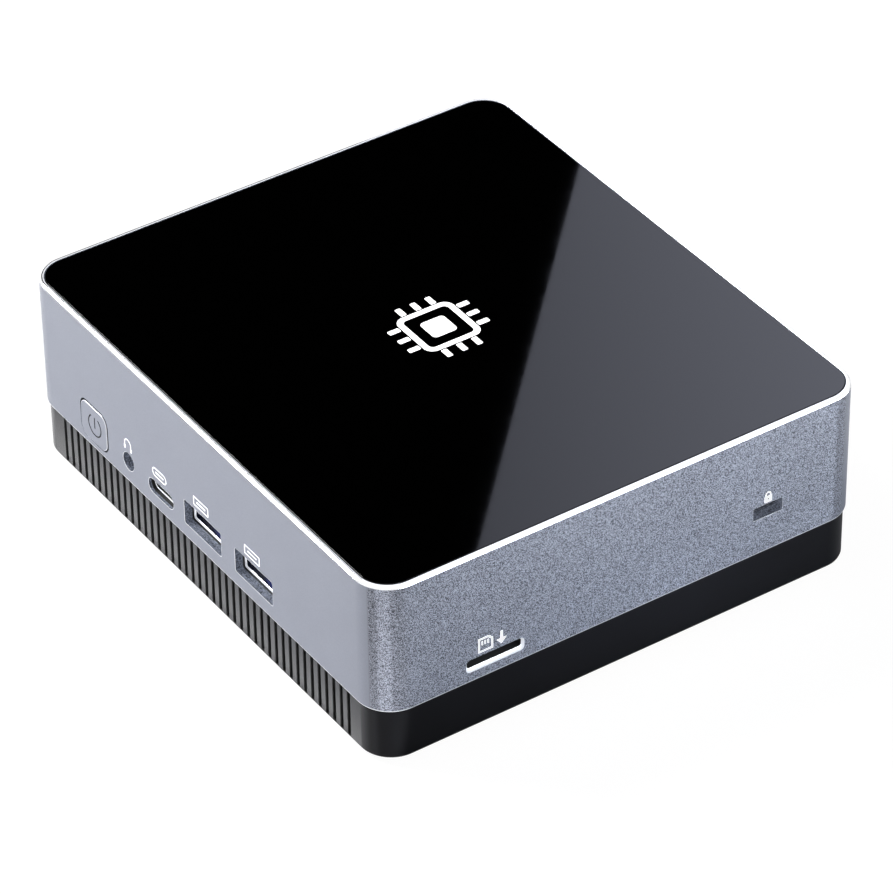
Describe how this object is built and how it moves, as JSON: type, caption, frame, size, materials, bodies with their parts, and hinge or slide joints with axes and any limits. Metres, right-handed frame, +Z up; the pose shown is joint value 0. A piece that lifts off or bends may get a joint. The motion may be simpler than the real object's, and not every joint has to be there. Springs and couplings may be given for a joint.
{
  "type": "mini pc",
  "caption": "Small square desktop computer: silver metal housing with a glossy black top, ribbed black base, front ports and a flush power button, card slot and lock slot on the side.",
  "frame": {"origin": "on the desk, under the middle of the case", "axes": "+Z up, -Y out of the front with the ports, +X out of the side with the card slot"},
  "size_m": [0.126, 0.1124, 0.0427],
  "materials": {
    "anodised_silver": "bead-blasted, anodised blue-silver, with polished chamfers",
    "black_panel": "high gloss, opaque black",
    "black_plastic": "satin moulded",
    "black_rubber": "matte",
    "blackened_steel": "black oxide",
    "plated_steel": "nickel plated",
    "blue_insulator": "moulded",
    "black_insulator": "moulded",
    "circuit_board": "solder mask",
    "processor_package": "laminate and silicon",
    "copper": null,
    "bare_aluminium": "bare",
    "brass": "machined"
  },
  "bodies": {
    "case": {"audio_jack": "black_insulator", "board_screw_1": "blackened_steel", "board_screw_2": "blackened_steel", "bottom_cover": "black_plastic", "bracket_insert_1": "brass", "bracket_insert_2": "brass", "card_socket": "plated_steel", "coin_cell": "plated_steel", "coin_cell_holder": "black_insulator", "cold_plate": "copper", "cover_screw_1": "blackened_steel", "cover_screw_2": "blackened_steel", "cover_screw_3": "blackened_steel", "cover_screw_4": "blackened_steel", "dc_inlet": "black_insulator", "fan_housing": "black_plastic", "fan_lid": "blackened_steel", "fan_motor": "copper", "fin_stack": "bare_aluminium", "foot_1": "black_rubber", "foot_2": "black_rubber", "foot_3": "black_rubber", "foot_4": "black_rubber", "hdmi_1": "plated_steel", "hdmi_2": "plated_steel", "heat_pipe_1": "copper", "heat_pipe_2": "copper", "lan_jack": "plated_steel", "lock_plate": "plated_steel", "mainboard": "circuit_board", "memory_module_1": "circuit_board", "memory_module_2": "circuit_board", "memory_socket_1": "black_insulator", "memory_socket_2": "black_insulator", "processor": "processor_package", "rear_plate": "black_plastic", "ssd": "circuit_board", "ssd_screw": "plated_steel", "ssd_socket": "black_insulator", "ssd_standoff": "brass", "switch_body": "plated_steel", "top_housing": "anodised_silver", "top_panel": "black_panel", "usb_a_front_1_core": "blue_insulator", "usb_a_front_1_shell": "plated_steel", "usb_a_front_2_core": "blue_insulator", "usb_a_front_2_shell": "plated_steel", "usb_a_rear_1_core": "blue_insulator", "usb_a_rear_1_shell": "plated_steel", "usb_a_rear_2_core": "blue_insulator", "usb_a_rear_2_shell": "plated_steel", "usb_c_front_core": "black_insulator", "usb_c_front_shell": "plated_steel", "wifi_card": "circuit_board", "wifi_socket": "black_insulator"},
    "power_button": {"power_button": "anodised_silver"},
    "switch_plunger": {"switch_plunger": "black_insulator"},
    "fan": {"fan_rotor": "black_insulator"},
    "card_slider": {"card_slider": "black_insulator"}
  },
  "joints": [
    {"name": "power_button_press", "type": "slide", "parent": "case", "child": "power_button", "axis": [0, 1, 0], "range_m": [0, 0.0004], "stiffness_N_per_m": 3000},
    {"name": "switch_press", "type": "slide", "parent": "case", "child": "switch_plunger", "axis": [0, 1, 0], "range_m": [0, 0.0004]},
    {"name": "card_push", "type": "slide", "parent": "case", "child": "card_slider", "axis": [-1, 0, 0], "range_m": [0, 0.0012], "stiffness_N_per_m": 200},
    {"name": "fan_spin", "type": "hinge", "parent": "case", "child": "fan", "pos_m": [-0.003, -0.015, 0.03075], "axis": [0, 0, 1], "continuous": true}
  ],
  "couplings": [
    {"joint": "switch_press", "follows": "power_button_press", "ratio": 1}
  ]
}
